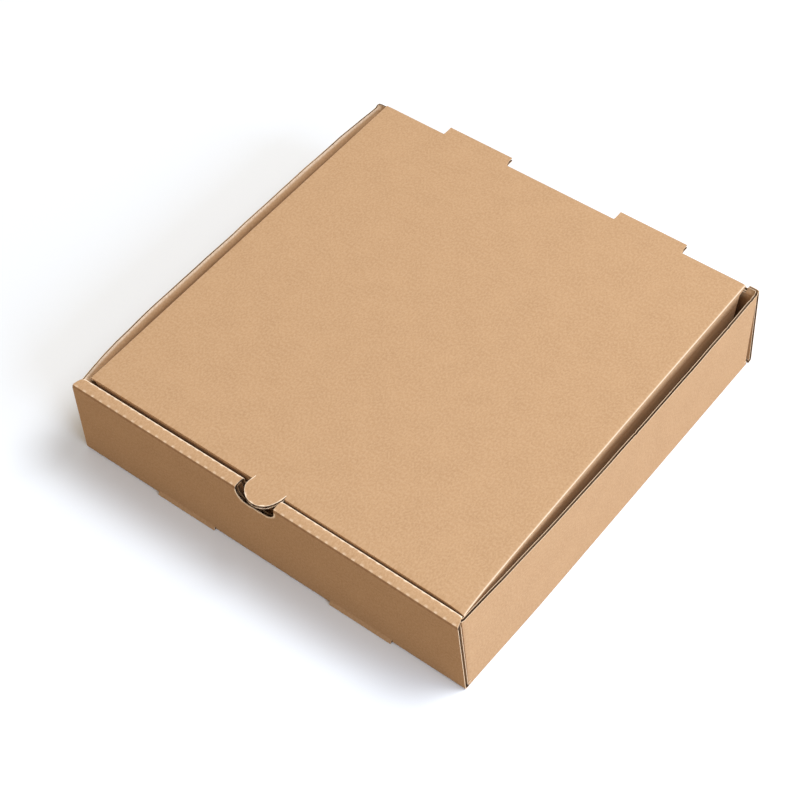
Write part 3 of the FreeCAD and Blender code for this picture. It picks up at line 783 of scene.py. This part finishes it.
def mix(tree, share, first, second):
    """Two colours mixed by a share."""
    node = tree.nodes.new("ShaderNodeMix")
    node.data_type = "RGBA"
    feed(tree, node.inputs["Factor"], share)
    feed(tree, node.inputs[6], first)
    feed(tree, node.inputs[7], second)
    return node.outputs[2]


# The papers' colours; some stand for painted highlight and painted shade.
KRAFT = (0.50, 0.313, 0.165, 1)
KRAFT_DARK = (0.465, 0.287, 0.149, 1)
KRAFT_LIGHT = (0.57, 0.38, 0.221, 1)
FIBRE_DARK = (0.32, 0.185, 0.095, 1)
PALE_WEAR_AND_HIGHLIGHT = (0.98, 0.82, 0.62, 1)
SHADED = (0.30, 0.15, 0.065, 1)
EDGE_DARK = (0.70, 0.52, 0.34, 1)
EDGE_LIGHT = (0.88, 0.70, 0.50, 1)
# The fluted paper's colours are near black: painted shade standing for the dark channels between the
# liners.
FLUTE_SHADE_DARK = (0.06, 0.033, 0.017, 1)
FLUTE_SHADE_LIGHT = (0.11, 0.062, 0.032, 1)
FLUTE_EDGE_SHADE_DARK = (0.09, 0.05, 0.027, 1)
FLUTE_EDGE_SHADE_LIGHT = (0.24, 0.145, 0.075, 1)
# Painted shade for cut edges deep in a recess.
HOLLOW_SHADE = (0.09, 0.045, 0.02, 1)


def make_kraft():
    """Matte unprinted kraft liner, made pale by rubbing and by painted highlights, and dark by painted
    shade.
    """
    material, tree, shader = new_material("kraft_liner", 0.82, 0.22)
    place = attribute(tree, "flat_place", "Vector")
    wear_and_light = attribute(tree, "wear_and_light", "Fac")
    cloud = noise(tree, place, 0.06, 5.0)
    fine = noise(tree, place, 0.8, 4.0, (1.0, 0.75, 1.0))
    grain = noise(tree, place, 1.5, 2.0, (1.0, 0.5, 1.0))
    colour = mix(tree, remap(tree, cloud, 0.3, 0.7, 0.0, 1.0), KRAFT_DARK, KRAFT)
    colour = mix(tree, remap(tree, fine, 0.40, 0.62, 0.0, 0.6), colour, KRAFT_LIGHT)
    colour = mix(tree, remap(tree, grain, 0.54, 0.74, 0.0, 0.36), colour, FIBRE_DARK)
    split = tree.nodes.new("ShaderNodeSeparateXYZ")
    tree.links.new(place, split.inputs[0])
    turns = math_node(tree, "MULTIPLY", split.outputs[0], 2 * math.pi / PITCH)
    crest = math_node(tree, "COSINE", turns)
    ticks = remap(tree, crest, 0.0, 1.0, 0.05, 1.0)
    # Paleness from rubbing and from painted highlights, along the flute ridges and broken by scuffs.
    paling = math_node(tree, "MULTIPLY", wear_and_light, ticks)
    scuffs = remap(tree, noise(tree, place, 0.9, 3.0), 0.3, 0.65, 0.45, 1.1)
    paling = math_node(tree, "MULTIPLY", paling, scuffs)
    paling = math_node(tree, "ADD", paling, remap(tree, wear_and_light, 1.0, 3.0, 0.0, 2.0))
    colour = mix(tree, paling, colour, PALE_WEAR_AND_HIGHLIGHT)
    # Painted shade, deeper over the troughs between flute ridges.
    troughs = remap(tree, crest, -1.0, 1.0, 1.0, 0.6)
    shaded = math_node(tree, "MULTIPLY", remap(tree, wear_and_light, -1.0, 0.0, 0.75, 0.0), troughs)
    colour = mix(tree, shaded, colour, SHADED)
    tree.links.new(colour, shader.inputs["Base Color"])
    height = math_node(tree, "MULTIPLY", crest, 0.10)
    height = math_node(tree, "ADD", height, fine)
    height = math_node(tree, "ADD", height, math_node(tree, "MULTIPLY", grain, 0.6))
    bump = add_node(tree, "ShaderNodeBump", Height=height, Strength=0.35, Distance=0.00012)
    tree.links.new(bump.outputs[0], shader.inputs["Normal"])
    return material


def make_paper(name, dark, light, scale):
    """Plain rough paper, as at a cut edge or on the flutes, darkened with painted shade where the mesh
    marks it below 0.
    """
    material, tree, shader = new_material(name, 0.9, 0.15)
    place = attribute(tree, "flat_place", "Vector")
    fine = noise(tree, place, scale, 4.0)
    colour = mix(tree, remap(tree, fine, 0.3, 0.7, 0.0, 1.0), dark, light)
    # Painted shade on cut edges deep in the thumb notch.
    shaded = remap(tree, attribute(tree, "wear_and_light", "Fac"), -1.0, 0.0, 0.85, 0.0)
    colour = mix(tree, shaded, colour, HOLLOW_SHADE)
    tree.links.new(colour, shader.inputs["Base Color"])
    bump = add_node(tree, "ShaderNodeBump", Height=fine, Strength=0.4, Distance=0.00015)
    tree.links.new(bump.outputs[0], shader.inputs["Normal"])
    return material


kraft = make_kraft()
raw_edge = make_paper("raw_edge", EDGE_DARK, EDGE_LIGHT, 0.9)
# The flutes' two materials carry painted shade in their near-black colours.
shaded_fluting = make_paper("shaded_fluting", FLUTE_SHADE_DARK, FLUTE_SHADE_LIGHT, 0.5)
shaded_fluting_edge = make_paper("shaded_fluting_edge", FLUTE_EDGE_SHADE_DARK, FLUTE_EDGE_SHADE_LIGHT, 1.1)


def tray_rows():
    """Where the tray's blank needs edges across the flutes."""
    rows = [-s for s in front_path.rows()] + back_path.rows()
    rows += flap_path.rows() + [-s for s in flap_path.rows()]
    rows += [step * TRAY_STEP for step in range(-11, 12)]
    rows += [middle + step * NICK_STEP for middle in NICKS for step in range(-2, 3)]
    rows += [step * FINE_STEP - CREASE for step in range(1, 14)]
    return np.array(rows)


def lid_rows():
    """Where the lid's blank needs edges across the flutes."""
    rows = [-s for s in lid_front_path.rows()]
    rows += [step * LID_STEP for step in range(-5, 6)]
    rows += [HINGE_Y - CRUSH_LENGTH * (4 - step) / 4 for step in range(4)]
    rows += [HINGE_Y + math.pi * NOSE * step / 8 for step in range(8)]
    rows += [-THUMB_TIP + step * FINE_STEP for step in range(16)]
    return np.array(rows)


def flute_drift(u, v):
    """How far the cut along a side wall's top has wandered over the flutes."""
    wander = 0.9 * np.sin(v / 31.0) + 0.5 * np.sin(v / 11.0 + 1.0)
    return wander * ramp(np.abs(u), SIDE_FOOT, 40)


fold_steps = np.arange(ARC_STEPS + 1) * ARC / ARC_STEPS
tray_board = add_board("tray", "tray", tray_loops(), place_tray, BASE_SIDE + fold_steps, tray_rows(), 1,
                       tray_wear_and_light, flute_drift)
lid_board = add_board("lid", "lid", lid_loops(), place_lid, LID_FLAT + fold_steps, lid_rows(), -1,
                      lid_wear_and_light, no_drift)
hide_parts("tray")
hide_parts("lid")


FLOOR_BOUNCE = (0.42, 0.295, 0.17, 1)
FLOOR_SEEN = (0.885, 0.95, 1.0, 1)
AMBIENT = 0.53
AMBIENT_COLOUR = (1.0, 0.85, 0.70, 1)
WHITE = (1, 1, 1, 1)


def seen_directly(tree):
    """1 for what the camera sees, also by a gloss or through something clear, and 0 for light on things."""
    path = tree.nodes.new("ShaderNodeLightPath")
    seen = math_node(tree, "MAXIMUM", path.outputs["Is Camera Ray"], path.outputs["Is Glossy Ray"])
    return math_node(tree, "MAXIMUM", seen, path.outputs["Is Transmission Ray"])


def add_floor():
    """A plain pale floor that shows white to the camera and keeps the shadow."""
    bpy.ops.mesh.primitive_plane_add(size=40)
    floor = bpy.context.object
    floor.name = "floor"
    material, tree, shader = new_material("floor_pale", 0.9, 0.0)
    colour = mix(tree, seen_directly(tree), FLOOR_BOUNCE, FLOOR_SEEN)
    tree.links.new(colour, shader.inputs["Base Color"])
    floor.data.materials.append(material)


def add_area(name, place, size, power, colour):
    """A soft square lamp that points at the origin."""
    lamp = bpy.data.lights.new(name, "AREA")
    lamp.shape = "SQUARE"
    lamp.size = size
    lamp.energy = power
    lamp.color = colour
    holder = bpy.data.objects.new(name, lamp)
    holder.location = place
    holder.rotation_mode = "QUATERNION"
    holder.rotation_quaternion = (-Vector(place)).to_track_quat("-Z", "Y")
    bpy.context.scene.collection.objects.link(holder)


def add_world():
    """Even light from all round, and white where the camera looks past the floor."""
    world = bpy.data.worlds.new("studio")
    bpy.context.scene.world = world
    world.use_nodes = True
    tree = world.node_tree
    background = tree.nodes["Background"]
    seen = seen_directly(tree)
    tree.links.new(remap(tree, seen, 0.0, 1.0, AMBIENT, 1.0), background.inputs["Strength"])
    tree.links.new(mix(tree, seen, AMBIENT_COLOUR, WHITE), background.inputs["Color"])


def add_camera():
    """The camera where the photograph was taken from."""
    azimuth = math.radians(AZIMUTH)
    elevation = math.radians(ELEVATION)
    roll = math.radians(ROLL)
    level = math.cos(elevation)
    back = Vector((math.sin(azimuth) * level, -math.cos(azimuth) * level, math.sin(elevation)))
    right = Vector((math.cos(azimuth), math.sin(azimuth), 0))
    up = back.cross(right)
    right_rolled = right * math.cos(roll) + up * math.sin(roll)
    up_rolled = up * math.cos(roll) - right * math.sin(roll)
    camera = bpy.data.cameras.new("camera")
    camera.sensor_width = 36
    camera.lens = LENS
    holder = bpy.data.objects.new("camera", camera)
    turn = Matrix((right_rolled, up_rolled, back)).transposed()
    holder.matrix_world = Matrix.Translation(Vector(CAMERA_PLACE) * MM) @ turn.to_4x4()
    bpy.context.scene.collection.objects.link(holder)
    bpy.context.scene.camera = holder


add_floor()
add_area("key", (1.1, 1.05, 2.7), 1.4, 66.0, (0.98, 0.99, 1.03))
add_area("fill", (2.4, -0.15, 0.8), 2.2, 55.5, (0.95, 1.12, 1.42))
add_world()
add_camera()
bpy.context.scene.view_settings.view_transform = "Standard"
